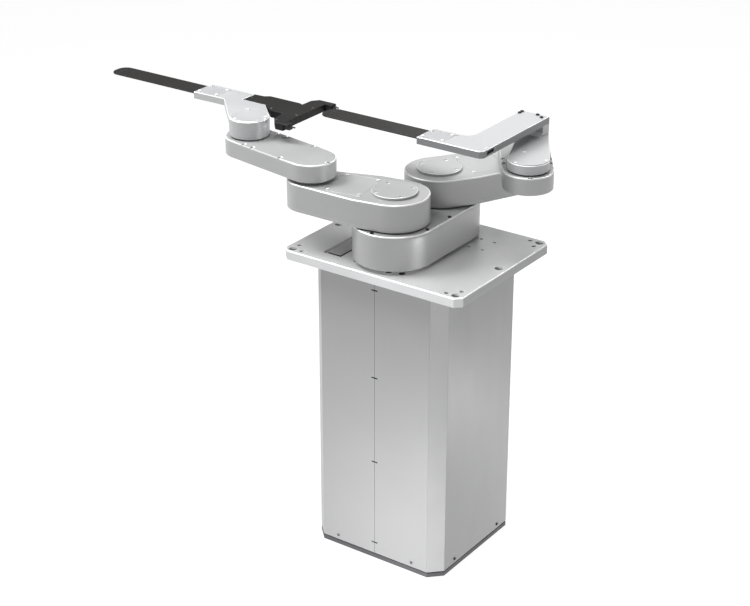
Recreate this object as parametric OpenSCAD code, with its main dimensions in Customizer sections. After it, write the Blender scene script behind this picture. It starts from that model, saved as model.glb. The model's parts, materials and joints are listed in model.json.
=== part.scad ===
// Dual-arm wafer-transfer SCARA robot: square column with a Z lift inside, a turning base link,
// and two mirrored belt-driven arms whose hands reach in a straight line without turning.
// Millimetres, +Z up, origin on the floor under the turning axis. The hands point to -X.

/* [Column] */
// Column width along X
column_w = 372; // [364:2:380]
// Column depth along Y
column_d = 347; // [339:2:355]
// Corner chamfer of the column, which is the face of the corner posts
column_c = 31; // [26:1:36]
// Thickness of the sheet covers
cover_t = 4; // [3:0.5:5]
// Height of the top face of the flange plate above the floor
plate_top = 780; // [760:10:820]

/* [Flange plate] */
// Plate length along X
plate_w = 500; // [490:5:540]
// Plate width along Y
plate_d = 400; // [395:5:430]
// Plate thickness
plate_t = 23; // [18:1:26]
// Radius of the big fixing holes
fix_hole_r = 10; // [7:0.5:10.5]
// Spacing of the big corner holes, and of the two at the middle of the short sides, along X
fix_x = 458; // [450:1:459]
// Spacing of the big corner holes along Y
fix_y = 365; // [358:1:366]

/* [Arms] */
// Distance of each shoulder axis from the turning axis
shoulder_y = 93; // [93:1:96]
// Distance between the axes of an upper arm and of a forearm
link_len = 215; // [212:1:225]
// Angle of the left upper arm from its straight line, as stored
left_bend = 9.5; // [5:0.5:40]
// Angle of the right upper arm from its straight line, as stored
right_bend = 124.5; // [100:0.5:124.5]
// Radius of the shoulder end and half width of the straight part of an upper arm
shoulder_r = 83; // [80:0.5:84]
// Radius of the elbow end of an upper arm
elbow_r = 58.5; // [56:0.5:60]
// Radius of both ends of a forearm
fore_r = 59; // [56:0.5:60]

/* [Hands] */
// Blade width
blade_w = 58.5; // [50:0.5:60]
// Blade length ahead of its bracket
blade_len = 282; // [242:5:302]
// Blade thickness
blade_t = 3; // [2.5:0.1:3.5]

/* [Hidden] */
$fn = 64;
eps = 0.1;

// straight sides lie this far inside the arcs that they meet, so that the two cross cleanly
tuck = 0.01;

// running clearance of a shaft in its hole
run = 0.05;
// clearance between a belt and the pulley it turns round
belt_gap = 0.3;

// heights of the stack, from the floor
foot_t = 11;
cover_z0 = 14;
plate_z0 = plate_top - plate_t;
link_z0 = plate_top + 10;
link_h = 84.5;
link_top = link_z0 + link_h;
link_cover_t = 6.5;
arm_z0 = link_top + 4;
arm_h = 67.5;
arm_top = arm_z0 + arm_h;
arm_bottom_t = 6;
cap_t = 6.3;
fore_z0 = arm_top + 9.5;
fore_h = 42;
fore_top = fore_z0 + fore_h;
fore_cover_t = 4;
hub_z0 = fore_top + 4.5;
low_plate_t = 21.5;
low_plate_top = hub_z0 + low_plate_t;
left_hand_z0 = low_plate_top + 4;
left_hand_t = 17.5;
left_hand_top = left_hand_z0 + left_hand_t;
l_plate_z0 = left_hand_top + 3.5;
l_plate_t = 17;
l_plate_top = l_plate_z0 + l_plate_t;
clamp_t = 2;

// column halves and inner faces
hx = column_w / 2;
hy = column_d / 2;
cx = hx - column_c;
cy = hy - column_c;
seam = 0.6;
post_flange = 18;
post_w = 10;

// ring screws of the flange plate, sunk in counterbores
ring_r = 166;
ring_d = 8;
ring_sink_r = 7.8;
ring_sink = 9;
ring_screw_len = 10;
ring_angles = [for (side = [0, 180], a = [-22.5, -11.25, 11.25, 22.5]) side - 90 + a];

// small fixing holes beside each corner hole
small_r = 5.5;
small_step = 25;

// accessory pattern
acc_x = 37.5;
acc_y = 54.5;
acc_pos = [122, 96.5];
acc_r = 4.5;

// connector window in the plate: its centre, size and depth, and the lid on the panel in it
win_pos = [-133.5, -98];
win_w = 52;
win_d = 120;
win_depth = 9;
panel_t = 4;
lid_w = 36;
lid_d = 45;
lid_t = 3;
lid_y = -27;
panel_screw_x = 43;
panel_screw_y = 111;

// latch slots down the front seam
latch_z = [for (i = [0:3]) plate_top - 52 - 228 * i];
latch_w = 17;
latch_h = 3;

// low screws of the covers
cover_screw_z = 26;
cover_screw_len = 6;
side_screw_y = 98;
front_screw_x = 110;

// exhaust slots of the rear cover
slot_w = 60;
slot_h = 4;

// lift drive
tube_r = 80;
tube_wall = 6;
tube_z0 = 240;
tube_z1 = link_z0 - 4;
seal_r = 90;
carriage_h = 90;
screw_y = 106;
screw_r = 10;
journal_r = 7;
nut_r = 17;
rail_x = 85;
rail_w = 15;
rail_h = 14;
back_y = 140;
back_t = 20;
block_y = 116;

// turning joint
theta_r = 55;

// belt drives: the fixed pulley at a shoulder has twice the radius of the elbow pulley, and the
// wrist pulley has twice the radius of the fixed pulley at the elbow
big_pulley_r = 48;
elbow_pulley_r = 24;
post_pulley_r = 20;
wrist_pulley_r = 40;
belt_t = 1.6;
belt_h = 16;
upper_belt_z = arm_z0 + 17;
fore_belt_z = fore_z0 + 13;
elbow_shaft_in = 20.5;
shoulder_hub_r = 44;
wrist_shaft_r = 24;
motor_r = 50;

// shells
arm_wall = 8;
fore_wall = 9;
link_wall = 14;
end_r = 98.8;
kink_x = 70;
access_x0 = 61;
access_x1 = 156;
access_w = 58;
access_t = 3;
access_seam = 0.8;

// stored directions of the links
left_dir = 180 + left_bend;
right_dir = 180 - right_bend;
left_wrist_x = -2 * link_len * cos(left_bend);
right_wrist_x = -2 * link_len * cos(right_bend);

// hands, measured along X from the wrist axis and along Y from the turning axis
hub_r = 48.9;
hub_cap_r = 46.5;
hub_screw_r = 42;
hub_sink_r = 3.9;
mount_x0 = -227;
mount_x1 = -90;
mount_y0 = -29.5;
mount_y1 = 41;
clamp_l = 67;
clamp_y0 = -23.5;
clamp_y1 = 33;
clamp_gap = 0.4;
blade_root = 66;
arm_x0 = -126.5;
arm_x1 = -50;
arm_y1 = 268;
riser_y0 = 240;
riser_fillet = 9;
mapper_x1 = 116;
sensor_x0 = 101;
sensor_h = 13.5;
sensor_l = 13;
slit_z = 5;
slit_h = 8;

// screws of the hands: clamp covers, mapper, riser, and a small pair near the L-plate's corner
clamp_screws = [for (x = [7.5, clamp_l - 5], y = [-16.5, 25.5]) [mount_x0 + x, y]];
clamp_screw_len = 10;
mapper_screws = [[-84, 22], [6, -16], [88, -20], [88, 42], [68, -75]];
mapper_sink = 2;
riser_screws = [[-121, 249.5], [-121, 261], [-78, 261], [-61, 250]];
pin_screws = [[-57, 4], [-57, -5]];
locating_hole = [mount_x0 + 71, 31];

// soft pads on a blade's tip
pad_r = 3.5;
pad_t = 0.5;
pad_x = 22;
pad_y = 6;

// colours
satin_silver = [0.78, 0.79, 0.8];
white_silver = [0.86, 0.87, 0.88];
panel_silver = [0.8, 0.81, 0.82];
dark_steel = [0.2, 0.2, 0.21];
steel = [0.6, 0.6, 0.62];
black = [0.1, 0.09, 0.09];
clamp_grey = [0.55, 0.58, 0.62];

// ---------- shared shapes ----------

// rectangle with four equal corner chamfers
module chamfered(w, d, c) {
    polygon([
        [-w / 2 + c, -d / 2], [w / 2 - c, -d / 2], [w / 2, -d / 2 + c], [w / 2, d / 2 - c],
        [w / 2 - c, d / 2], [-w / 2 + c, d / 2], [-w / 2, d / 2 - c], [-w / 2, -d / 2 + c]
    ]);
}

// point where a line from p touches the circle at c, on the side given by 1 or -1
function touch(p, c, r, side) =
    let (v = c - p, d = norm(v), a = atan2(v[1], v[0]) + side * asin(r / d))
    p + sqrt(d * d - r * r) * [cos(a), sin(a)];

// four corners where the common tangents meet a circle r1 and a circle r2 at a distance along +X
function tangent_quad(r1, r2, len) =
    let (
        a = acos((r1 - r2) / len),
        u = (r1 - tuck) * [cos(a), sin(a)],
        v = [len, 0] + (r2 - tuck) * [cos(a), sin(a)]
    )
    [u, v, [v[0], -v[1]], [u[0], -u[1]]];

// two round ends joined by their common tangents
module link2d(r1, r2, len) {
    circle(r1);
    translate([len, 0]) circle(r2);
    polygon(tangent_quad(r1, r2, len));
}

module link3d(r1, r2, len, h) {
    cylinder(r = r1, h = h);
    translate([len, 0, 0]) cylinder(r = r2, h = h);
    linear_extrude(h) polygon(tangent_quad(r1, r2, len));
}

// upper arm drawn in by inset: straight sides to the kink, then a taper to the elbow
module arm3d(inset, h) {
    p = [kink_x, shoulder_r - inset - tuck];
    t = touch(p, [link_len, 0], elbow_r - inset - tuck, 1);
    cylinder(r = shoulder_r - inset, h = h);
    translate([link_len, 0, 0]) cylinder(r = elbow_r - inset, h = h);
    linear_extrude(h) polygon([[0, p[1]], p, t, [t[0], -t[1]], [p[0], -p[1]], [0, -p[1]]]);
}

// closed belt round two pulleys
module belt(r1, r2, z) {
    inner = belt_gap;
    outer = belt_gap + belt_t;
    translate([0, 0, z]) difference() {
        union() link3d(r1 + outer, r2 + outer, link_len, belt_h);
        translate([0, 0, -1]) link3d(r1 + inner, r2 + inner, link_len, belt_h + 2);
    }
}

// socket-head screw standing on z = 0, head up
module screw(d, len) {
    difference() {
        cylinder(d = 1.8 * d, h = 0.5 * d, $fn = 32);
        translate([0, 0, 0.2 * d]) cylinder(d = d, h = d, $fn = 6);
    }
    translate([0, 0, -len]) cylinder(d = d, h = len + eps, $fn = 24);
}

// drilled hole for that screw
module screw_hole(d, len) {
    translate([0, 0, -len - 0.5]) cylinder(d = d + 0.2, h = len + 1.5, $fn = 24);
}

module at_each(points, z) {
    for (p = points) translate([p[0], p[1], z]) children();
}

module at_shoulder(left) {
    translate([0, left ? -shoulder_y : shoulder_y, 0]) rotate(left ? left_dir : right_dir) children();
}

module at_elbow(left) {
    at_shoulder(left) translate([link_len, 0, 0]) rotate(left ? -2 * left_bend : 2 * right_bend)
        children();
}

module at_hand(left) {
    translate([left ? left_wrist_x : right_wrist_x, 0, 0]) children();
}

// ---------- column ----------

module base_plate() {
    color(dark_steel) {
        linear_extrude(foot_t) chamfered(column_w, column_d, column_c);
        translate([0, 0, foot_t - eps]) linear_extrude(cover_z0 - foot_t + eps)
            chamfered(column_w - 4, column_d - 4, column_c);
    }
}

module backbone() {
    color(steel) difference() {
        union() {
            translate([-120, back_y, cover_z0]) cube([240, back_t, plate_z0 - cover_z0]);
            for (z = [160, plate_z0 - 32]) translate([-30, 84, z]) cube([60, back_y - 84 + eps, 25]);
            translate([-120, 60, cover_z0]) cube([12, back_y - 60 + eps, 60]);
            translate([108, 60, cover_z0]) cube([12, back_y - 60 + eps, 60]);
        }
        translate([0, screw_y, 150]) cylinder(r = journal_r + run, h = plate_z0);
    }
}

// quarter of the post section, in the corner at +X +Y
module post2d() {
    polygon([
        [cx, hy], [hx, cy], [hx - cover_t, cy], [hx - cover_t, cy - post_flange],
        [hx - cover_t - post_w, cy - post_flange], [hx - cover_t - post_w, cy],
        [cx, hy - cover_t - post_w], [cx - post_flange, hy - cover_t - post_w],
        [cx - post_flange, hy - cover_t], [cx, hy - cover_t]
    ]);
}

module corner_posts() {
    color(satin_silver) for (mx = [0, 1], my = [0, 1]) mirror([mx, 0, 0]) mirror([0, my, 0])
        translate([0, 0, cover_z0]) linear_extrude(plate_z0 - cover_z0) post2d();
}

module front_cover(side) {
    w = cx - seam;
    color(panel_silver) difference() {
        translate([side > 0 ? seam / 2 : -cx + seam / 2, -hy, cover_z0])
            cube([w, cover_t, plate_z0 - cover_z0 - 0.5]);
        for (z = latch_z) translate([-latch_w / 2, -hy - eps, z - latch_h / 2])
            cube([latch_w, cover_t + 1, latch_h]);
        at_cover_screws() screw_hole(4, cover_screw_len);
    }
}

module front_cover_left() {
    front_cover(-1);
}

module front_cover_right() {
    front_cover(1);
}

// low screws of the covers: two on each side face, two on the front and rear
module at_cover_screws() {
    for (m = [0, 1], y = [-side_screw_y, side_screw_y]) mirror([m, 0, 0])
        translate([hx, y, cover_screw_z]) rotate([0, 90, 0]) children();
    for (m = [0, 1], x = [-front_screw_x, front_screw_x]) mirror([0, m, 0])
        translate([x, -hy, cover_screw_z]) rotate([90, 0, 0]) children();
}

module side_covers() {
    color(panel_silver) difference() {
        for (m = [0, 1]) mirror([m, 0, 0]) translate([hx - cover_t, -cy + seam / 2, cover_z0])
            cube([cover_t, 2 * cy - seam, plate_z0 - cover_z0 - 0.5]);
        at_cover_screws() screw_hole(4, cover_screw_len);
    }
}

// rear cover with rows of exhaust slots near the foot
module rear_cover() {
    color(panel_silver) difference() {
        translate([-cx + seam / 2, hy - cover_t, cover_z0])
            cube([2 * cx - seam, cover_t, plate_z0 - cover_z0 - 0.5]);
        for (x = [-80, 20], z = [60:12:144]) translate([x, hy - cover_t - 1, z])
            cube([slot_w, cover_t + 2, slot_h]);
        at_cover_screws() screw_hole(4, cover_screw_len);
    }
}

function corners(w, d) = [for (sx = [-1, 1], sy = [-1, 1]) [sx * w / 2, sy * d / 2]];

function ring_points() = [for (a = ring_angles) ring_r * [cos(a), sin(a)]];

module flange_plate() {
    color(satin_silver) difference() {
        translate([0, 0, plate_z0]) linear_extrude(plate_t) difference() {
            chamfered(plate_w, plate_d, 16);
            for (p = corners(fix_x, fix_y)) translate(p) circle(fix_hole_r);
            for (s = [-1, 1]) translate([s * fix_x / 2, 0]) circle(fix_hole_r);
            for (p = corners(fix_x - 2 * small_step, fix_y)) translate(p) circle(small_r);
            for (p = corners(fix_x, fix_y - 2 * small_step)) translate(p) circle(small_r);
            for (p = corners(acc_x, acc_y)) translate(acc_pos + p) circle(acc_r);
            circle(seal_r);
        }
        translate([win_pos[0] - win_w / 2, win_pos[1] - win_d / 2, plate_top - win_depth])
            cube([win_w, win_d, win_depth + 1]);
        at_each(ring_points(), plate_top) {
            screw_hole(ring_d, ring_sink + ring_screw_len);
            translate([0, 0, -ring_sink]) cylinder(r = ring_sink_r, h = ring_sink + 1);
        }
    }
}

// sunk panel with a raised lid over the connectors
module connector_panel() {
    color(satin_silver) translate([win_pos[0], win_pos[1], plate_top - win_depth]) difference() {
        union() {
            translate([-win_w / 2 + 0.5, -win_d / 2 + 0.5, 0]) cube([win_w - 1, win_d - 1, panel_t]);
            translate([-lid_w / 2, lid_y - lid_d / 2, panel_t - eps]) cube([lid_w, lid_d, lid_t]);
        }
        at_each(panel_screws(), panel_t) screw_hole(4, 3);
    }
}

function panel_screws() = corners(panel_screw_x, panel_screw_y);

module tube_seal() {
    color(black) translate([0, 0, plate_z0]) difference() {
        cylinder(r = seal_r, h = plate_t + 3);
        translate([0, 0, -1]) cylinder(r = tube_r + run, h = plate_t + 5);
    }
}

module guide_rails() {
    color(steel) for (s = [-1, 1])
        translate([s * rail_x - rail_w / 2, back_y - rail_h, 40]) cube([rail_w, rail_h, 700]);
}

module z_motor() {
    color(dark_steel) difference() {
        translate([-30, screw_y - 30, cover_z0]) cube([60, 60, 126]);
        translate([0, screw_y, 120]) cylinder(r = journal_r + run, h = 30);
    }
}

module base_screws() {
    color(dark_steel) {
        at_each(ring_points(), plate_top - ring_sink) screw(ring_d, ring_screw_len);
        at_each([for (p = panel_screws()) win_pos + p], plate_top - win_depth + panel_t) screw(4, 3);
        at_cover_screws() screw(4, cover_screw_len);
    }
}

module ball_screw() {
    color(steel) translate([0, screw_y, 0]) {
        translate([0, 0, 125]) cylinder(r = journal_r, h = 61);
        translate([0, 0, 186]) cylinder(r = screw_r, h = plate_z0 - 33 - 186);
        translate([0, 0, plate_z0 - 33]) cylinder(r = journal_r, h = 24);
    }
}

// ---------- lift ----------

module carriage() {
    color(steel) translate([0, 0, tube_z0]) difference() {
        union() {
            cylinder(r = tube_r + 14, h = carriage_h);
            translate([-105, 40, 0]) cube([210, block_y - 40, carriage_h]);
            translate([-30, 40, 0]) cube([60, 92, carriage_h]);
        }
        translate([0, 0, -1]) cylinder(r = tube_r, h = carriage_h + 2);
        translate([0, screw_y, -1]) cylinder(r = nut_r, h = 41);
        translate([0, screw_y, 0]) cylinder(r = screw_r + 2, h = carriage_h + 1);
    }
}

module rail_blocks() {
    color(dark_steel) for (s = [-1, 1], z = [tube_z0 + 6, tube_z0 + 54]) difference() {
        translate([s * rail_x - 19, block_y, z]) cube([38, 22, 30]);
        translate([s * rail_x - rail_w / 2 - 0.5, back_y - rail_h - 0.5, z - 1])
            cube([rail_w + 1, 30, 32]);
    }
}

module ball_nut() {
    color(steel) translate([0, screw_y, tube_z0]) difference() {
        union() {
            cylinder(r = nut_r, h = 40);
            translate([0, 0, -10]) cylinder(r = 25, h = 10);
        }
        translate([0, 0, -11]) cylinder(r = screw_r + run, h = 53);
    }
}

module lift_tube() {
    color(satin_silver) difference() {
        translate([0, 0, tube_z0]) cylinder(r = tube_r, h = tube_z1 - tube_z0);
        translate([0, 0, tube_z0 - 1]) cylinder(r = tube_r - tube_wall, h = link_z0 - 45 - tube_z0 + 1);
        translate([0, 0, tube_z0]) cylinder(r = theta_r + run, h = tube_z1);
        translate([0, 0, link_z0 - 25]) cylinder(r = tube_r - tube_wall, h = 30);
    }
}

module theta_motor() {
    z = link_z0 - 230;
    color(dark_steel) translate([0, 0, z]) {
        cylinder(r = 60, h = 140);
        translate([0, 0, 140 - eps]) cylinder(r = tube_r - tube_wall, h = 8);
        translate([0, 0, 148 - 2 * eps]) cylinder(r = 14, h = 28);
    }
}

// ---------- turning base link ----------

module theta_shaft() {
    color(steel) difference() {
        union() {
            translate([0, 0, link_z0 - 75]) cylinder(r = theta_r, h = 67);
            translate([0, 0, link_z0 - 10]) cylinder(r = 70, h = 10);
        }
        translate([0, 0, link_z0 - 80]) cylinder(r = 14 + run, h = 32);
        translate([0, 0, link_z0 - 40]) cylinder(r = 30, h = 50);
    }
}

module link_outline(inset) {
    r = end_r - inset;
    for (s = [-1, 1]) translate([0, s * shoulder_y]) circle(r);
    square([2 * (r - tuck), 2 * shoulder_y], center = true);
}

module base_link_housing() {
    color(satin_silver) difference() {
        translate([0, 0, link_z0]) linear_extrude(link_h - link_cover_t) link_outline(0);
        translate([0, 0, link_z0 + 8]) linear_extrude(link_h) link_outline(link_wall);
        translate([0, 0, link_z0 - 1]) cylinder(r = 30, h = 20);
        at_each(link_screws(), link_top) screw_hole(5, 14);
    }
}

module base_link_cover() {
    color(satin_silver) difference() {
        translate([0, 0, link_top - link_cover_t]) linear_extrude(link_cover_t) link_outline(0);
        for (s = [-1, 1]) translate([0, s * shoulder_y, link_top - 20])
            cylinder(r = shoulder_hub_r + run, h = 30);
        at_each(link_screws(), link_top) screw_hole(5, 14);
    }
}

function link_screws() = concat(
    [for (s = [-1, 1], a = [0, 90, 180]) [91 * cos(a), s * (shoulder_y + 91 * sin(a))]],
    [[-91, 0], [91, 0]]
);

module shoulder_motors() {
    color(dark_steel) for (s = [-1, 1]) translate([0, s * shoulder_y, link_z0 + 8])
        cylinder(r = motor_r, h = 62);
}

module shoulder_pulleys() {
    z = link_z0 + 70;
    color(steel) for (s = [-1, 1]) translate([0, s * shoulder_y, 0]) {
        translate([0, 0, z]) cylinder(r = 16, h = upper_belt_z - z + eps);
        translate([0, 0, upper_belt_z - 1]) cylinder(r = big_pulley_r, h = belt_h + 2);
    }
}

module base_link_screws() {
    color(steel) at_each(link_screws(), link_top) screw(5, 14);
}

// ---------- upper arms ----------

// bottom plate with the hollow shoulder hub below it and the fixed elbow post above it
module arm_bottom_plate(left) {
    color(satin_silver) at_shoulder(left) difference() {
        union() {
            translate([0, 0, arm_z0]) arm3d(0, arm_bottom_t);
            translate([0, 0, link_z0 + 75]) cylinder(r = shoulder_hub_r, h = arm_z0 - link_z0 - 74);
            translate([link_len, 0, arm_z0 + 3]) cylinder(r = 14, h = fore_belt_z - arm_z0);
            translate([link_len, 0, fore_belt_z - 1]) cylinder(r = post_pulley_r, h = belt_h + 2);
        }
        translate([0, 0, link_z0 + 70]) cylinder(r = 30, h = 50);
    }
}

function access_screws() = [for (x = [access_x0 + 6, access_x1 - 9], s = [-1, 1]) [x, s * (access_w - 7)]];

function cap_screws() = [for (a = [45:90:315]) 45.5 * [cos(a), sin(a)]];

module access2d(grow) {
    translate([access_x0 - grow, -access_w - grow])
        square([access_x1 - access_x0 + 2 * grow, 2 * (access_w + grow)]);
}

module upper_arm(left) {
    z1 = arm_z0 + arm_bottom_t;
    color(satin_silver) at_shoulder(left) difference() {
        translate([0, 0, z1]) arm3d(0, arm_top - z1);
        translate([0, 0, z1 - 1]) arm3d(arm_wall, arm_h - arm_bottom_t - arm_wall + 1);
        translate([0, 0, arm_top - 20]) cylinder(r = 38, h = 30);
        translate([link_len, 0, arm_top - 20]) cylinder(r = elbow_pulley_r + run, h = 30);
        translate([0, 0, arm_top - access_t]) linear_extrude(access_t + 1) access2d(access_seam);
        translate([0, 0, arm_top - 20]) linear_extrude(30) access2d(-16);
        at_each(access_screws(), arm_top - access_t) screw_hole(4, 4);
        at_each(cap_screws(), arm_top) screw_hole(5, 6);
    }
}

module shoulder_cap(left) {
    color(satin_silver) at_shoulder(left) translate([0, 0, arm_top]) difference() {
        cylinder(r = 53.8, h = cap_t);
        at_each(cap_screws(), 2) {
            screw_hole(5, 8);
            cylinder(r = 5.5, h = 10);
        }
    }
}

module access_cover(left) {
    color(satin_silver) at_shoulder(left) difference() {
        translate([0, 0, arm_top - access_t]) linear_extrude(access_t) access2d(0);
        at_each(access_screws(), arm_top) screw_hole(4, 6);
    }
}

module upper_belt(left) {
    color(black) at_shoulder(left) belt(big_pulley_r, elbow_pulley_r, upper_belt_z);
}

module upper_screws(left) {
    color(steel) at_shoulder(left) {
        at_each(access_screws(), arm_top) screw(4, 6);
        at_each(cap_screws(), arm_top + 2) screw(5, 7);
    }
}

// ---------- forearms ----------

function fore_screws() = concat(
    [for (x = [49, 145, 175], s = [-1, 1]) [x, s * (fore_r - 4.5)]],
    [[-fore_r + 4.5, 0], [link_len + fore_r - 4.5, 0]]
);

module forearm(left) {
    z1 = fore_top - fore_cover_t;
    color(satin_silver) at_elbow(left) difference() {
        union() {
            translate([0, 0, fore_z0]) linear_extrude(z1 - fore_z0) link2d(fore_r, fore_r, link_len);
            translate([0, 0, arm_top + 2]) cylinder(r = 46, h = fore_z0 - arm_top);
            translate([0, 0, upper_belt_z - 2]) cylinder(r = elbow_pulley_r, h = fore_z0 - upper_belt_z);
        }
        translate([0, 0, fore_z0 + 5]) linear_extrude(fore_h)
            link2d(fore_r - fore_wall, fore_r - fore_wall, link_len);
        cylinder(r = elbow_shaft_in, h = fore_z0 + 20);
        at_each(fore_screws(), z1) screw_hole(3, 6);
    }
}

module forearm_cover(left) {
    z1 = fore_top - fore_cover_t;
    color(satin_silver) at_elbow(left) difference() {
        translate([0, 0, z1]) link3d(fore_r, fore_r, link_len, fore_cover_t);
        at_each(fore_screws(), z1 - 1) cylinder(r = 5.5, h = 10);
        translate([link_len, 0, z1 - 1]) cylinder(r = wrist_shaft_r + run, h = 10);
    }
}

module forearm_belt(left) {
    color(black) at_elbow(left) belt(post_pulley_r, wrist_pulley_r, fore_belt_z);
}

module forearm_screws(left) {
    color(steel) at_elbow(left) at_each(fore_screws(), fore_top - fore_cover_t) screw(3, 6);
}

// ---------- hands ----------

// wrist shaft with its pulley inside the forearm and a round hub above it
module wrist_hub(left, top) {
    y = left ? -shoulder_y : shoulder_y;
    color(white_silver) at_hand(left) translate([0, y, 0]) {
        translate([0, 0, fore_belt_z - 1]) cylinder(r = wrist_pulley_r, h = belt_h + 2);
        translate([0, 0, fore_belt_z]) cylinder(r = wrist_shaft_r, h = fore_top + 2 - fore_belt_z);
        translate([0, 0, fore_top + 1]) cylinder(r = hub_r - 6, h = hub_z0 - fore_top - 1);
        if (top > hub_z0) translate([0, 0, hub_z0 - eps]) cylinder(r = hub_r, h = top - hub_z0 + eps);
    }
}

// blade with rounded tip corners and a narrower root, its top below z by the clamp cover
module blade(left, z) {
    tip = 24;
    x0 = mount_x0 - blade_len;
    y = blade_w / 2;
    color(black) at_hand(left) difference() {
        translate([0, 0, z - clamp_t - blade_t]) linear_extrude(blade_t) {
            translate([x0 + tip, -y]) square([blade_len - tip - 0.2, blade_w]);
            translate([mount_x0 - 1, clamp_y0]) square([blade_root + 1, y - clamp_y0]);
            translate([x0, -y + tip]) square([tip + 1, blade_w - 2 * tip]);
            for (s = [-1, 1]) translate([x0 + tip, s * (y - tip)]) circle(tip);
        }
        at_each(clamp_screws, z) screw_hole(4, clamp_screw_len);
    }
}

// two small soft pads near the tip of a blade, under the edge of the wafer
module pads(left, z) {
    color(dark_steel) at_hand(left) translate([0, 0, z - clamp_t]) linear_extrude(pad_t)
        for (s = [-1, 1]) translate([mount_x0 - blade_len + pad_x, s * pad_y]) circle(pad_r);
}

// cover let into the top of a bracket over the root of its blade
module clamp_cover(left, z) {
    color(clamp_grey) at_hand(left) difference() {
        translate([mount_x0, clamp_y0, z - clamp_t]) cube([clamp_l, clamp_y1 - clamp_y0, clamp_t]);
        at_each(clamp_screws, z) screw_hole(4, clamp_screw_len);
    }
}

// pocket for the cover and, under it, for the root of the blade
module blade_pocket(top) {
    translate([mount_x0 - 1, clamp_y0 - clamp_gap, top - clamp_t])
        cube([clamp_l + 1 + clamp_gap, clamp_y1 - clamp_y0 + 2 * clamp_gap, clamp_t + 1]);
    translate([mount_x0 - 1, clamp_y0 - clamp_gap, top - clamp_t - blade_t])
        cube([blade_root + 1 + clamp_gap, blade_w / 2 - clamp_y0 + 2 * clamp_gap, blade_t + 1]);
    at_each(clamp_screws, top) screw_hole(4, clamp_screw_len);
    translate([locating_hole[0], locating_hole[1], top - 8]) cylinder(d = 3.4, h = 9);
}

module left_bracket() {
    hub = [0, -shoulder_y];
    kink = [-131.5, mount_y0 + 1.5];
    inner = [-20, -5];
    tongue = 20;
    color(white_silver) at_hand(true) difference() {
        union() {
            translate([0, 0, left_hand_z0]) linear_extrude(left_hand_t) {
                translate(hub) circle(hub_r);
                polygon([
                    [mount_x0, mount_y0], kink, touch(kink, hub, hub_r - tuck, -1), hub,
                    touch(inner, hub, hub_r - tuck, 1), inner, [mount_x1, -5], [mount_x1, mount_y1],
                    [mount_x0, mount_y1]
                ]);
            }
            translate([mount_x1 - 1, -6, left_hand_z0]) cube([tongue + 1, mount_y1 + 4, 6]);
            translate([0, -shoulder_y, left_hand_top - eps]) cylinder(r = hub_cap_r, h = clamp_t + eps);
        }
        blade_pocket(left_hand_top);
        at_each(hub_screws(-shoulder_y), left_hand_top + clamp_t) screw_hole(4, 8);
    }
}

function hub_screws(y) = [for (a = [15:120:255]) [hub_screw_r * cos(a), y + hub_screw_r * sin(a)]];

// black T-shaped arm behind the left hand, holding a sensor at each end of its bar
module mapper_arm() {
    x0 = mount_x1;
    color(black) at_hand(true) difference() {
        translate([0, 0, left_hand_z0]) linear_extrude(left_hand_t) polygon([
            [x0, -5], [x0, 42], [-62, 44], [-50, 53], [40, 53], [52, 48], [53, 83], [67, 100],
            [mapper_x1, 100], [mapper_x1, 80], [97, 80], [97, -74], [mapper_x1, -74],
            [mapper_x1, -92], [78, -92], [58, -70], [53, -31], [17, -31], [-20, -5]
        ]);
        translate([sensor_x0, -93, left_hand_z0 - 1]) cube([20, 20, sensor_h + 1]);
        translate([x0 - 1, -7, left_hand_z0 - 1]) cube([21.4, mount_y1 + 6, 7.3]);
        at_each(mapper_screws, left_hand_top) {
            screw_hole(3, 8);
            translate([0, 0, -mapper_sink]) cylinder(r = 3, h = mapper_sink + 1);
        }
    }
}

module mapper_sensors() {
    z = left_hand_z0 + sensor_h - 2;
    color(black) at_hand(true) {
        translate([sensor_x0, -89, left_hand_z0 + 4]) cube([17, 13, sensor_h - 4]);
        translate([mapper_x1, 84, z - 5]) cube([3, 14, 7]);
        for (y = [-82.5, 91]) translate([mapper_x1 + 1, y, z]) rotate([0, 90, 0])
            cylinder(r = 2, h = sensor_l);
    }
}

module left_hand_screws() {
    color(steel) at_hand(true) {
        at_each(clamp_screws, left_hand_top) screw(4, clamp_screw_len);
        at_each(hub_screws(-shoulder_y), left_hand_top + clamp_t) screw(4, 8);
        at_each(mapper_screws, left_hand_top - mapper_sink) screw(3, 6);
    }
}

// disc over the right wrist, spreading to a riser that carries the upper plate
module right_lower_plate() {
    hub = [0, shoulder_y];
    a = [arm_x0, arm_y1];
    b = [arm_x1, arm_y1];
    color(white_silver) at_hand(false) difference() {
        union() {
            translate([0, 0, hub_z0]) linear_extrude(low_plate_t) {
                translate(hub) circle(hub_r);
                polygon([a, touch(a, hub, hub_r - tuck, -1), hub, touch(b, hub, hub_r - tuck, 1), b]);
            }
            translate([0, shoulder_y, low_plate_top - eps]) cylinder(r = hub_cap_r, h = clamp_t + eps);
            translate([arm_x0, riser_y0, low_plate_top - eps])
                cube([arm_x1 - arm_x0, arm_y1 - riser_y0, l_plate_z0 - low_plate_top + eps]);
            translate([arm_x0, riser_y0, low_plate_top]) rotate([90, 0, 90])
                linear_extrude(arm_x1 - arm_x0)
                    polygon([[eps, -eps], [-riser_fillet, -eps], [eps, riser_fillet]]);
        }
        at_each(hub_screws(shoulder_y), low_plate_top) {
            screw_hole(4, 8);
            cylinder(r = hub_sink_r, h = clamp_t + 1);
        }
        at_each(riser_screws, l_plate_top) screw_hole(5, 26);
    }
}

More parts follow.
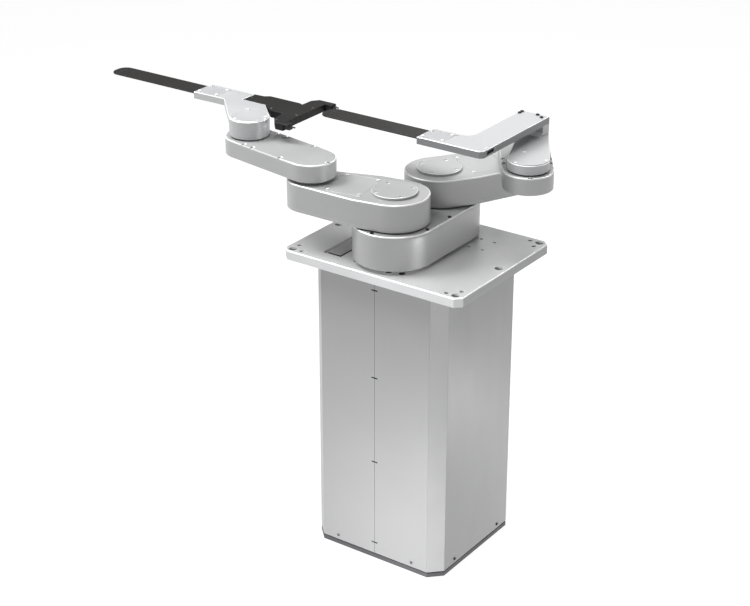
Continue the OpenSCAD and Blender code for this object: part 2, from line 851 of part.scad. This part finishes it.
// upper L-shaped plate: its long side carries the blade, its short side sits on the riser
module right_l_plate() {
    fillet = 25;
    ix = arm_x0 - fillet;
    color(white_silver) at_hand(false) difference() {
        translate([0, 0, l_plate_z0]) linear_extrude(l_plate_t) difference() {
            union() {
                polygon([
                    [mount_x0, mount_y0], [arm_x1 - 8, mount_y0], [arm_x1, mount_y0 + 8],
                    [arm_x1, arm_y1], [arm_x0, arm_y1], [arm_x0, mount_y1 + 2],
                    [mount_x0 + 6, mount_y1 + 2], [mount_x0, mount_y1 - 4]
                ]);
                translate([ix, mount_y1 + 1]) square([fillet + 1, fillet + 1]);
            }
            translate([ix, mount_y1 + 2 + fillet]) circle(fillet);
        }
        blade_pocket(l_plate_top);
        translate([arm_x1 - 3, -8, l_plate_z0 + slit_z]) cube([4, 28, slit_h]);
        at_each(riser_screws, l_plate_top) screw_hole(5, 26);
        at_each(pin_screws, l_plate_top) screw_hole(2.5, 6);
    }
}

module right_hand_screws() {
    color(dark_steel) at_hand(false) {
        at_each(clamp_screws, l_plate_top) screw(4, clamp_screw_len);
        at_each(riser_screws, l_plate_top) screw(5, 24);
        at_each(pin_screws, l_plate_top) screw(2.5, 6);
        at_each(hub_screws(shoulder_y), low_plate_top) screw(4, 8);
    }
}

base_plate();
backbone();
corner_posts();
front_cover_left();
front_cover_right();
side_covers();
rear_cover();
flange_plate();
connector_panel();
tube_seal();
guide_rails();
z_motor();
base_screws();
ball_screw();
carriage();
rail_blocks();
ball_nut();
lift_tube();
theta_motor();
theta_shaft();
base_link_housing();
base_link_cover();
shoulder_motors();
shoulder_pulleys();
base_link_screws();
arm_bottom_plate(true);  // left_arm_bottom_plate
upper_arm(true);  // left_upper_arm
shoulder_cap(true);  // left_shoulder_cap
access_cover(true);  // left_access_cover
upper_belt(true);  // left_upper_belt
upper_screws(true);  // left_upper_screws
forearm(true);  // left_forearm
forearm_cover(true);  // left_forearm_cover
forearm_belt(true);  // left_forearm_belt
forearm_screws(true);  // left_forearm_screws
wrist_hub(true, left_hand_z0);  // left_wrist_hub
left_bracket();
clamp_cover(true, left_hand_top);  // left_clamp_cover
blade(true, left_hand_top);  // left_blade
pads(true, left_hand_top);  // left_pads
mapper_arm();
mapper_sensors();
left_hand_screws();
arm_bottom_plate(false);  // right_arm_bottom_plate
upper_arm(false);  // right_upper_arm
shoulder_cap(false);  // right_shoulder_cap
access_cover(false);  // right_access_cover
upper_belt(false);  // right_upper_belt
upper_screws(false);  // right_upper_screws
forearm(false);  // right_forearm
forearm_cover(false);  // right_forearm_cover
forearm_belt(false);  // right_forearm_belt
forearm_screws(false);  // right_forearm_screws
wrist_hub(false, hub_z0);  // right_wrist_hub
right_lower_plate();
right_l_plate();
clamp_cover(false, l_plate_top);  // right_clamp_cover
blade(false, l_plate_top);  // right_blade
pads(false, l_plate_top);  // right_pads
right_hand_screws();
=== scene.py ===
"""Looks of the dual-arm wafer-transfer robot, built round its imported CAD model.

Metres, in the CAD's own frame: +Z up, the floor at 0, the turning axis at x = y = 0, hands towards -X.
"""

import json
import math

import bmesh
import bpy
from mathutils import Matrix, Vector
from mathutils.bvhtree import BVHTree


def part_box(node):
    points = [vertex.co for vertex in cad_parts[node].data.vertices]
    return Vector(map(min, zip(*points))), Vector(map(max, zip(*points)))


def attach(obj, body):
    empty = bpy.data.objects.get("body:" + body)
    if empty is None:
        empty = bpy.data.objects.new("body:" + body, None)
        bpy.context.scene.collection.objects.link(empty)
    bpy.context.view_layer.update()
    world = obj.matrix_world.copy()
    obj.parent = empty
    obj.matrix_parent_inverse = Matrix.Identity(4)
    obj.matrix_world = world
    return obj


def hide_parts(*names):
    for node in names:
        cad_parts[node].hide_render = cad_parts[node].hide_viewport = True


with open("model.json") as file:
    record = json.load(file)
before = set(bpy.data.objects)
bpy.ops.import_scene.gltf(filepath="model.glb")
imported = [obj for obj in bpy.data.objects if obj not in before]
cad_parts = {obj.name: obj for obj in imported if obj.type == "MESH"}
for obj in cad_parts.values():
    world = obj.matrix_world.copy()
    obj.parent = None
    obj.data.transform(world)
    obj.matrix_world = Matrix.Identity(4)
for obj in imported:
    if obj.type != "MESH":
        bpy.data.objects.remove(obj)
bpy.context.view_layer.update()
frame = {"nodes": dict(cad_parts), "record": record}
NODES = frame["nodes"]
RECORD = frame["record"]
BODY_OF = {n: b for b, members in RECORD["behaviour"]["bodies"].items() for n in members}
SLOT_OF = {s["node"]: s["material_slot"] for s in RECORD["subparts"]}

MM = 0.001


# ---------- camera, floor and light ----------

# where the photo was taken from
CAMERA_AZIMUTH = math.radians(35.23)
CAMERA_ELEVATION = math.radians(25.05)
CAMERA_DISTANCE = 4.5525
CAMERA_TARGET = Vector((-0.121, 0.0, 0.5973))
SENSOR_WIDTH = 36.0
FOCAL_LENGTH = 89.3

FLOOR_HALF = 30.0
FLOOR_GREY = 0.16
FLOOR_GLOW = 0.92

SKY_BRIGHT = (-0.55, -0.75, 0.37)
SKY_LOW = 0.05
SKY_HIGH = 0.30

PLATE_LEVEL = (0.0, 0.0, 0.9)
COLUMN = ("front_cover_left", "front_cover_right", "side_covers", "rear_cover", "corner_posts", "base_plate")
LEFT_ARM_END = ("left_forearm", "left_forearm_cover", "left_wrist_hub", "left_bracket")


def aim(obj, target):
    obj.rotation_mode = "QUATERNION"
    obj.rotation_quaternion = (Vector(target) - obj.location).to_track_quat("-Z", "Y")


def add_object(name, data):
    obj = bpy.data.objects.new(name, data)
    bpy.context.scene.collection.objects.link(obj)
    return obj


def make_camera():
    data = bpy.data.cameras.new("camera")
    data.sensor_width = SENSOR_WIDTH
    data.lens = FOCAL_LENGTH
    data.clip_start = 0.1
    data.clip_end = 2 * FLOOR_HALF
    cam = add_object("camera", data)
    away = Vector((
        math.sin(CAMERA_AZIMUTH) * math.cos(CAMERA_ELEVATION),
        -math.cos(CAMERA_AZIMUTH) * math.cos(CAMERA_ELEVATION),
        math.sin(CAMERA_ELEVATION),
    ))
    cam.location = CAMERA_TARGET + CAMERA_DISTANCE * away
    aim(cam, CAMERA_TARGET)
    bpy.context.scene.camera = cam


def make_floor():
    """A floor that gives off light, so that it is white up to the object's foot."""
    mesh = bpy.data.meshes.new("floor")
    signs = ((-1, -1), (1, -1), (1, 1), (-1, 1))
    mesh.from_pydata([(sx * FLOOR_HALF, sy * FLOOR_HALF, 0) for sx, sy in signs], [], [(0, 1, 2, 3)])
    floor = add_object("floor", mesh)
    mat = bpy.data.materials.new("floor")
    mat.use_nodes = True
    shader = mat.node_tree.nodes["Principled BSDF"]
    shader.inputs["Base Color"].default_value = (FLOOR_GREY, FLOOR_GREY, FLOOR_GREY, 1.0)
    shader.inputs["Roughness"].default_value = 0.9
    shader.inputs["Emission Color"].default_value = (1.0, 1.0, 1.0, 1.0)
    shader.inputs["Emission Strength"].default_value = FLOOR_GLOW
    mesh.materials.append(mat)


def make_world():
    """Soft sky that is bright to the front left and dim to the back right."""
    world = bpy.data.worlds.new("studio")
    bpy.context.scene.world = world
    world.use_nodes = True
    tree = world.node_tree
    back = tree.nodes["Background"]
    back.inputs["Color"].default_value = (1.0, 1.0, 1.0, 1.0)
    coords = tree.nodes.new("ShaderNodeTexCoord")
    dot = tree.nodes.new("ShaderNodeVectorMath")
    dot.operation = "DOT_PRODUCT"
    dot.inputs[1].default_value = SKY_BRIGHT
    level = tree.nodes.new("ShaderNodeMapRange")
    level.inputs["From Min"].default_value = -1.0
    level.inputs["To Min"].default_value = SKY_LOW
    level.inputs["To Max"].default_value = SKY_HIGH
    tree.links.new(coords.outputs["Generated"], dot.inputs[0])
    tree.links.new(dot.outputs["Value"], level.inputs["Value"])
    tree.links.new(level.outputs["Result"], back.inputs["Strength"])


def area_light(name, place, target, size, power, lit=None, blocked=True):
    """A soft light. With lit it reaches only those nodes' pieces; with blocked False nothing shades it."""
    data = bpy.data.lights.new(name, "AREA")
    data.shape = "RECTANGLE"
    data.size, data.size_y = size
    data.energy = power
    lamp = add_object(name, data)
    lamp.location = place
    lamp.visible_camera = False
    aim(lamp, target)
    if lit:
        lamp.light_linking.receiver_collection = bpy.data.collections.new(name + "_lights")
        for node in lit:
            lamp.light_linking.receiver_collection.objects.link(pieces[node])
    if not blocked:
        lamp.light_linking.blocker_collection = bpy.data.collections.new(name + "_blockers")
        lamp.light_linking.blocker_collection.objects.link(bpy.data.objects["floor"])


def make_light():
    make_world()
    bpy.context.scene.view_settings.view_transform = "Standard"
    # the studio: four soft boxes above
    area_light("key", (-1.6, -0.8, 3.3), PLATE_LEVEL, (1.2, 1.2), 90)
    area_light("top", (-0.1, -0.1, 3.2), PLATE_LEVEL, (1.4, 1.4), 40)
    area_light("rim", (0.9, 2.6, 3.2), PLATE_LEVEL, (1.2, 1.0), 35)
    area_light("glow", (-1.25, 2.9, 2.3), (0.1, 0.3, 0.9), (1.1, 1.1), 6)
    # near the floor, for the column's bright lower end
    area_light("low_front", (0.16, -0.75, 0.06), (0.05, -0.2, 0.1), (0.5, 0.08), 5, COLUMN)
    area_light("low_right", (0.75, 0.4, 0.12), (0.2, 0.15, 0.12), (0.3, 0.1), 2.6, COLUMN)
    # for the plate's front edge
    area_light("graze", (0.25, -1.3, 1.1), (0.1, -0.1, 0.8), (0.7, 0.15), 20, ["flange_plate"])
    # for the soft bands along the walls of the base link and of the left arm's end
    banded = ("base_link_housing",) + LEFT_ARM_END
    area_light("strip", (1.25, 0.1, 0.3), (-0.1, -0.1, 0.95), (0.42, 0.45), 4.2, banded, False)
    area_light("back_strip", (0.5, 0.8, 0.45), (-0.4, -0.1, 1.0), (0.15, 0.35), 1.5, LEFT_ARM_END, False)


# ---------- materials ----------

class Finish:
    """A Principled material with helpers that add textures in the object's own space."""

    def __init__(self, name, color, roughness, metallic=0.0):
        self.mat = bpy.data.materials.new(name)
        self.mat.use_nodes = True
        self.tree = self.mat.node_tree
        self.shader = self.tree.nodes["Principled BSDF"]
        self.color = color
        self.shader.inputs["Base Color"].default_value = (*color, 1.0)
        self.shader.inputs["Roughness"].default_value = roughness
        self.shader.inputs["Metallic"].default_value = metallic
        self.place = self.node("ShaderNodeTexCoord").outputs["Object"]
        self.height = None

    def node(self, kind, **values):
        made = self.tree.nodes.new(kind)
        for key, value in values.items():
            setattr(made, key, value)
        return made

    def link(self, out, into):
        self.tree.links.new(out, into)

    def noise(self, scale, detail=3.0, stretch=(1.0, 1.0, 1.0), rough=0.55):
        place = self.node("ShaderNodeMapping")
        place.inputs["Scale"].default_value = stretch
        self.link(self.place, place.inputs["Vector"])
        tex = self.node("ShaderNodeTexNoise")
        tex.inputs["Scale"].default_value = scale
        tex.inputs["Detail"].default_value = detail
        tex.inputs["Roughness"].default_value = rough
        self.link(place.outputs["Vector"], tex.inputs["Vector"])
        return tex.outputs["Fac"]

    def between(self, fac, low, high, from_low=0.3, from_high=0.7):
        """Maps fac, from from_low to from_high, to a number from low to high."""
        m = self.node("ShaderNodeMapRange")
        m.inputs["From Min"].default_value = from_low
        m.inputs["From Max"].default_value = from_high
        m.inputs["To Min"].default_value = low
        m.inputs["To Max"].default_value = high
        self.link(fac, m.inputs["Value"])
        return m.outputs["Result"]

    def mix(self, fac, a, b):
        """Mixes two colours; a and b are colours or sockets."""
        m = self.node("ShaderNodeMix", data_type="RGBA")
        for value, socket in ((a, m.inputs[6]), (b, m.inputs[7])):
            if isinstance(value, tuple):
                socket.default_value = (*value, 1.0)
            else:
                self.link(value, socket)
        self.link(fac, m.inputs[0])
        return m.outputs[2]

    def shade(self, k):
        """The finish's own colour, k times as bright."""
        return tuple(min(1.0, c * k) for c in self.color)

    def edge_mask(self, radius):
        """About 1 on edges and 0 on flat faces; it carries edge wear, and in the plate, arm and hand
        aluminium also a painted highlight.
        """
        bevel = self.node("ShaderNodeBevel", samples=4)
        bevel.inputs["Radius"].default_value = radius
        geo = self.node("ShaderNodeNewGeometry")
        dot = self.node("ShaderNodeVectorMath", operation="DOT_PRODUCT")
        self.link(bevel.outputs["Normal"], dot.inputs[0])
        self.link(geo.outputs["Normal"], dot.inputs[1])
        return self.between(dot.outputs["Value"], 1.0, 0.0, 0.80, 0.99)

    def bump(self, fac, depth):
        """Adds a height in metres, on top of any bump already there."""
        b = self.node("ShaderNodeBump")
        b.inputs["Strength"].default_value = 1.0
        b.inputs["Distance"].default_value = depth
        self.link(fac, b.inputs["Height"])
        if self.height:
            self.link(self.height, b.inputs["Normal"])
        self.height = b.outputs["Normal"]
        self.link(self.height, self.shader.inputs["Normal"])

    def set_color(self, socket):
        self.link(socket, self.shader.inputs["Base Color"])

    def set_roughness(self, socket):
        self.link(socket, self.shader.inputs["Roughness"])


def blasted_metal(name, color, roughness, metallic, edge_wear_and_highlight=1.12):
    """Bead-blasted anodised aluminium: fine grain, slow cloudy tone, brighter edges from edge wear and,
    where the edge factor is large, a painted highlight along the rims.
    """
    f = Finish(name, color, roughness, metallic)
    cloud = f.noise(9.0, 4.0)
    grain = f.noise(1400.0, 2.0)
    speck = f.noise(420.0, 5.0)
    tone = f.mix(f.between(cloud, 0.0, 1.0), f.shade(0.95), f.shade(1.03))
    tone = f.mix(f.between(speck, 0.0, 0.35, 0.45, 0.75), tone, f.shade(0.88))
    # edge wear, and with a large edge factor a painted highlight on the edges
    f.set_color(f.mix(f.edge_mask(1.2 * MM), tone, f.shade(edge_wear_and_highlight)))
    f.set_roughness(f.between(cloud, roughness - 0.05, roughness + 0.07))
    f.bump(grain, 0.06 * MM)
    f.bump(speck, 0.04 * MM)
    return f.mat


def satin_paint(name, color, roughness):
    """Satin powder coat on sheet metal: orange peel, faint handling marks."""
    f = Finish(name, color, roughness)
    cloud = f.noise(3.5, 3.0)
    peel = f.noise(260.0, 2.0)
    marks = f.noise(18.0, 6.0, (1.0, 1.0, 0.3), 0.7)
    tone = f.mix(f.between(cloud, 0.0, 1.0), f.shade(0.97), f.shade(1.02))
    tone = f.mix(f.between(marks, 0.0, 0.25, 0.58, 0.8), tone, f.shade(0.9))
    f.set_color(f.mix(f.edge_mask(0.8 * MM), tone, f.shade(1.06)))
    f.set_roughness(f.between(marks, roughness - 0.04, roughness + 0.09))
    f.shader.inputs["Coat Weight"].default_value = 0.1
    f.shader.inputs["Coat Roughness"].default_value = 0.25
    f.bump(peel, 0.05 * MM)
    return f.mat


def brushed(name, color, roughness, metallic=1.0):
    """Turned or ground metal with fine upright lines."""
    f = Finish(name, color, roughness, metallic)
    lines = f.noise(900.0, 3.0, (1.0, 1.0, 0.04))
    tone = f.mix(f.between(lines, 0.0, 1.0), f.shade(0.85), f.shade(1.1))
    f.set_color(f.mix(f.edge_mask(0.4 * MM), tone, f.shade(1.2)))
    f.set_roughness(f.between(lines, roughness - 0.06, roughness + 0.1))
    f.bump(lines, 0.03 * MM)
    return f.mat


def dull_black(name, color, roughness, grain=600.0):
    """Matte dark plastic, rubber, paint or anodising with a fine grain and rubbed edges."""
    f = Finish(name, color, roughness)
    cloud = f.noise(14.0, 4.0)
    fine = f.noise(grain, 3.0)
    tone = f.mix(f.between(cloud, 0.0, 1.0), f.shade(0.85), f.shade(1.25))
    f.set_color(f.mix(f.edge_mask(0.6 * MM), tone, f.shade(2.4)))
    f.set_roughness(f.between(fine, roughness - 0.06, roughness + 0.08))
    f.bump(fine, 0.05 * MM)
    return f.mat


def woven_black(name, color, roughness):
    """Carbon-fibre laminate with a fine twill under a matte skin."""
    f = Finish(name, color, roughness)
    heights = []
    for direction in ("X", "Y"):
        wave = f.node("ShaderNodeTexWave", wave_type="BANDS", bands_direction=direction)
        wave.inputs["Scale"].default_value = 110.0
        wave.inputs["Distortion"].default_value = 0.4
        f.link(f.place, wave.inputs["Vector"])
        heights.append(wave.outputs["Fac"])
    weave = f.node("ShaderNodeMath", operation="MULTIPLY")
    f.link(heights[0], weave.inputs[0])
    f.link(heights[1], weave.inputs[1])
    cloud = f.noise(20.0, 3.0)
    tone = f.mix(weave.outputs["Value"], f.shade(0.8), f.shade(1.3))
    tone = f.mix(f.between(cloud, 0.0, 0.5), tone, f.shade(1.35))
    f.set_color(f.mix(f.edge_mask(0.5 * MM), tone, f.shade(2.2)))
    f.set_roughness(f.between(weave.outputs["Value"], roughness, roughness + 0.1, 0.0, 1.0))
    f.bump(weave.outputs["Value"], 0.04 * MM)
    return f.mat


def make_materials():
    """One finish for each material slot of the record, then those that only chosen faces get."""
    return {
        "panel": satin_paint("panel_paint", (0.29, 0.29, 0.293), 0.42),
        "post": blasted_metal("post_aluminium", (0.40, 0.40, 0.405), 0.42, 0.2),
        "foot": dull_black("foot_paint", (0.06, 0.06, 0.065), 0.5),
        # plate, arm and hand aluminium: their large edge factors paint a highlight on the edges
        "plate": blasted_metal("plate_aluminium", (0.52, 0.522, 0.525), 0.33, 0.3, 1.7),
        "arm_casting": blasted_metal("arm_aluminium", (0.42, 0.422, 0.425), 0.36, 0.25, 1.9),
        "hand_aluminium": blasted_metal("hand_aluminium", (0.46, 0.465, 0.47), 0.38, 0.2, 1.6),
        "clamp_plate": blasted_metal("clamp_aluminium", (0.40, 0.41, 0.42), 0.42, 0.2),
        "blade": woven_black("blade_laminate", (0.0125, 0.0115, 0.011), 0.46),
        "pad": dull_black("pad_rubber", (0.02, 0.02, 0.02), 0.75, 900.0),
        "mapper_black": dull_black("mapper_black", (0.0095, 0.0087, 0.0083), 0.43),
        "belt": dull_black("belt_rubber", (0.02, 0.02, 0.02), 0.8),
        "seal": dull_black("seal_rubber", (0.09, 0.09, 0.09), 0.7),
        "motor": dull_black("motor_paint", (0.03, 0.03, 0.032), 0.45),
        "connector": brushed("connector_steel", (0.5, 0.497, 0.493), 0.5, 0.0),
        "dark_screws": brushed("black_oxide", (0.05, 0.05, 0.052), 0.4),
        "screws": brushed("bright_screws", (0.95, 0.95, 0.95), 0.35, 0.1),
        "tube": brushed("tube_aluminium", (0.6, 0.61, 0.62), 0.3),
        "steel_parts": brushed("ground_steel", (0.5, 0.5, 0.52), 0.32),
        # painted highlight: near-white finish for rounded upper rims, standing in for their rim highlight
        "painted_highlight_rim": blasted_metal("painted_highlight_rim_finish", (0.9, 0.9, 0.9), 0.3, 0.3, 1.0),
        "hub_face": blasted_metal("hub_face", (0.45, 0.455, 0.46), 0.4, 0.2),
        # painted shade: a darker grey for the L-plate's walls
        "painted_shade_wall": blasted_metal("painted_shade_wall", (0.24, 0.243, 0.247), 0.42, 0.3),
        # painted shade: a greyer tone for the flange plate's walls
        "painted_shade_plate_wall": blasted_metal("painted_shade_plate_wall", (0.36, 0.362, 0.365), 0.4, 0.2),
        # painted shade: near-black for the black parts' sides and for slits, seams, slots, counterbores and
        # the connector panel's sides
        "painted_shade_black": dull_black("painted_shade_black", (0.003, 0.003, 0.003), 0.6),
        "grey_screws": brushed("grey_screws", (0.3, 0.3, 0.3), 0.4, 0.3),
    }


# ---------- rounded copies of the CAD nodes ----------

SHARP = math.radians(30)
WELD = 0.03 * MM             # vertices nearer than this become one
FLAT = math.radians(0.6)     # neighbouring faces that differ by less than this become one
SMALL_EDGE = 0.3 * MM        # rounding of the edges that aren't an upper outline
SCREW_RIM = 0.3 * MM
SCREW_EDGE = 0.15 * MM
STEEP = 0.3                  # a wall's normal has a smaller upright share than this
LEVEL = 0.9                  # a top's normal has at least this upright share
PROBE_OUT = 0.2 * MM         # a probe for outer walls starts this far off the wall
PROBE_DOWN = 0.5 * MM        # and this far below its edge
PROBE_REACH = 0.6            # and meets nothing of the same node over this length

# the rounding of each node's upper outline, in millimetres
ROUNDED = {
    "base_plate": 1.0, "corner_posts": 0.6, "front_cover_left": 0.5, "front_cover_right": 0.5,
    "side_covers": 0.5, "rear_cover": 0.5, "flange_plate": 2.2, "connector_panel": 0.4,
    "base_link_housing": 0.6, "base_link_cover": 3.0,
    "left_bracket": 1.5, "left_clamp_cover": 0.3, "left_blade": 0.5, "mapper_arm": 0.8,
    "right_lower_plate": 1.5, "right_l_plate": 1.3, "right_clamp_cover": 0.3, "right_blade": 0.5,
}
# the nodes whose rounded upper outline gets a painted highlight: a near-white finish that stands in for the
# rim highlight
PAINTED_HIGHLIGHT_RIMS = ["flange_plate", "base_link_cover", "left_bracket", "right_lower_plate", "right_l_plate"]
for side in ("left", "right"):
    ROUNDED |= {
        side + "_arm_bottom_plate": 0.4, side + "_upper_arm": 3.0, side + "_shoulder_cap": 1.2,
        side + "_access_cover": 0.6, side + "_forearm": 0.4, side + "_forearm_cover": 2.8,
        side + "_wrist_hub": 0.8,
    }
    PAINTED_HIGHLIGHT_RIMS += [side + "_upper_arm", side + "_shoulder_cap", side + "_forearm_cover"]

# upper outlines above this height get the small rounding, because the right hub's wall is thin there
THIN_ABOVE = {"right_lower_plate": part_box("mapper_arm")[0][2] - 3 * MM}


def is_sharp(edge):
    return len(edge.link_faces) == 2 and edge.is_convex and edge.calc_face_angle(0.0) > SHARP


def is_rim(edge, tree):
    """True for a sharp edge between a top face and an outer wall of the piece."""
    if not is_sharp(edge):
        return False
    wall, top = sorted(edge.link_faces, key=lambda f: abs(f.normal.z))
    if top.normal.z < LEVEL or abs(wall.normal.z) > STEEP:
        return False
    middle = (edge.verts[0].co + edge.verts[1].co) / 2
    start = middle + PROBE_OUT * wall.normal - Vector((0.0, 0.0, PROBE_DOWN))
    return tree.ray_cast(start, wall.normal, PROBE_REACH)[0] is None


def round_rims(bm, rim, thin_above):
    """Rounds the upper outline, where it is below the height thin_above, and returns the new faces."""
    tree = BVHTree.FromBMesh(bm)
    rims = [e for e in bm.edges if e.verts[0].co.z < thin_above and is_rim(e, tree)]
    if not rims:
        return []
    cut = bmesh.ops.bevel(
        bm, geom=rims, offset=rim, offset_type="OFFSET", segments=4, profile=0.5, affect="EDGES",
    )
    return cut["faces"]


def break_edges(bm, width):
    """Takes the edges that are still sharp off by width."""
    bmesh.ops.bevel(
        bm, geom=[e for e in bm.edges if is_sharp(e)], offset=width, offset_type="OFFSET",
        segments=1, profile=0.5, affect="EDGES", clamp_overlap=True,
    )


def soften(node, rim, other=SMALL_EDGE):
    """Replaces a CAD node by a copy with its upper outline rounded by rim and other sharp edges by other."""
    mesh = NODES[node].data.copy()
    piece = add_object(node + "_finished", mesh)
    bm = bmesh.new()
    bm.from_mesh(mesh)
    bmesh.ops.remove_doubles(bm, verts=bm.verts, dist=WELD)
    bmesh.ops.dissolve_limit(bm, angle_limit=FLAT, verts=bm.verts, edges=bm.edges)
    rounded = round_rims(bm, rim, THIN_ABOVE.get(node, math.inf))
    # painted highlight: these nodes' rounded rims take the near-white finish
    if node in PAINTED_HIGHLIGHT_RIMS:
        for f in rounded:
            f.material_index = 1
    break_edges(bm, other)
    bmesh.ops.triangulate(bm, faces=[f for f in bm.faces if len(f.verts) > 4])
    for f in bm.faces:
        f.smooth = True
    for e in bm.edges:
        e.smooth = len(e.link_faces) == 2 and e.calc_face_angle(0.0) < SHARP
    mesh.materials.clear()
    mesh.materials.append(finishes[SLOT_OF[node]])
    mesh.materials.append(finishes["painted_highlight_rim"])
    bm.to_mesh(mesh)
    bm.free()
    weighted = piece.modifiers.new("even_shading", "WEIGHTED_NORMAL")
    weighted.keep_sharp = True
    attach(piece, BODY_OF[node])
    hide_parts(node)
    return piece


# ---------- faces with a finish of their own ----------

LEANING = 0.5                    # as STEEP, but looser
TOP_SKIN = 0.3 * MM              # what lies within this of the left bracket's top is the wrist's cap
RISER_SCREWS = 25 * MM           # the riser's screws lie within this of the right hand's outermost one
MAPPER_BAR = 55 * MM             # the bar's screws are at least this far behind the left wrist
MAPPER_STEM = 100 * MM           # the stem's screws are at most this far in front of it
MAPPER_SIDE = -45 * MM           # and all of them are beyond this y
FRONT_SCREWS = 20 * MM           # depth of the row of screws on the column's front
FOOT_SCREWS_TOP = 100 * MM       # the foot's screws are below this height
SEAM_HALF = 9 * MM               # the front covers' seam and slots lie within this of the middle
SLIT_SKIN = 0.1 * MM             # the slit in the L-plate's end starts behind this
SLIT_DEPTH = 4 * MM              # and is less deep than this
SLIT_Y = (-8.1 * MM, 20.1 * MM)
SLIT_COVER = 3 * MM              # and starts at least this far below the L-plate's top
RING_RADII = (155 * MM, 177 * MM)    # the plate's ring screws lie between these
RING_X = 75 * MM                 # and within this of x = 0


def paint(piece, finish, chosen, rims_too=False):
    """Gives the faces that chosen picks another finish."""
    piece.data.materials.append(finishes[finish])
    for f in piece.data.polygons:
        if (f.material_index == 0 or rims_too) and chosen(f):
            f.material_index = len(piece.data.materials) - 1


def is_wall(f):
    return abs(f.normal.z) < STEEP


def is_side(f):
    return abs(f.normal.z) < LEANING


def finish_left_hand():
    """A duller face on the wrist's cap, and grey screws in the mapping arm."""
    bracket_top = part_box("left_bracket")[1][2]
    paint(pieces["left_bracket"], "hub_face", lambda f: f.center.z > bracket_top - TOP_SKIN)
    hub_lo, hub_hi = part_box("left_wrist_hub")
    wrist_x = (hub_lo[0] + hub_hi[0]) / 2
    paint(pieces["left_hand_screws"], "grey_screws", lambda f: f.center.x > wrist_x + MAPPER_BAR
          or f.center.x > wrist_x - MAPPER_STEM and f.center.y > MAPPER_SIDE)


def finish_right_hand():
    """A painted highlight on the edge of the wrist's cap, bright screws but for the riser's, painted shade
    on the L-plate's sides and in its slit.
    """
    thin_above = THIN_ABOVE["right_lower_plate"]
    # painted highlight on the sloped edge of the right wrist's cap
    paint(pieces["right_lower_plate"], "painted_highlight_rim",
          lambda f: f.center.z > thin_above and STEEP < f.normal.z < LEVEL)
    riser_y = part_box("right_hand_screws")[1][1] - RISER_SCREWS
    paint(pieces["right_hand_screws"], "screws", lambda f: f.center.y < riser_y)
    plate_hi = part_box("right_l_plate")[1]
    # painted shade on the L-plate's walls
    paint(pieces["right_l_plate"], "painted_shade_wall", is_wall)
    # painted shade in the slit of the L-plate's end
    paint(pieces["right_l_plate"], "painted_shade_black",
          lambda f: SLIT_SKIN < plate_hi[0] - f.center.x < SLIT_DEPTH
          and SLIT_Y[0] < f.center.y < SLIT_Y[1] and f.center.z < plate_hi[2] - SLIT_COVER, True)


def finish_black_parts():
    """Painted shade: a darker black on the sides of the blades and of the mapping arm."""
    for node in ("mapper_arm", "left_blade", "right_blade"):
        paint(pieces[node], "painted_shade_black", is_side)


def finish_column():
    """Light screws along the foot's front, and painted shade on the seam and slots between the front covers.
    """
    front_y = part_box("base_screws")[0][1] + FRONT_SCREWS
    paint(pieces["base_screws"], "panel", lambda f: f.center.y < front_y and f.center.z < FOOT_SCREWS_TOP)
    # painted shade on the walls of the seam and slots between the front covers
    for node in ("front_cover_left", "front_cover_right"):
        paint(pieces[node], "painted_shade_black",
              lambda f: abs(f.center.x) < SEAM_HALF and abs(f.normal.y) < LEANING)


def finish_plate():
    """Painted shade: dark walls in the ring screws' counterbores, greyer sides of the plate and dark sides
    of the connector panel.
    """
    # painted shade on the walls of the ring screws' counterbores
    paint(pieces["flange_plate"], "painted_shade_black",
          lambda f: abs(f.normal.z) < LEVEL and abs(f.center.x) < RING_X
          and RING_RADII[0] < f.center.xy.length < RING_RADII[1])
    # painted shade on the flange plate's walls
    paint(pieces["flange_plate"], "painted_shade_plate_wall", is_wall)
    # painted shade on the connector panel's sides
    paint(pieces["connector_panel"], "painted_shade_black", is_side)


def finish_base_link():
    paint(pieces["base_link_screws"], "dark_screws", lambda f: True)


# ---------- the scene ----------

make_camera()
make_floor()
finishes = make_materials()
for name, obj in NODES.items():
    obj.data.materials.clear()
    obj.data.materials.append(finishes[SLOT_OF[name]])
pieces = {name: soften(name, width * MM) for name, width in ROUNDED.items()}
for name in ("right_hand_screws", "base_screws", "base_link_screws", "left_hand_screws"):
    pieces[name] = soften(name, SCREW_RIM, SCREW_EDGE)
finish_left_hand()
finish_right_hand()
finish_black_parts()
finish_column()
finish_plate()
finish_base_link()
make_light()
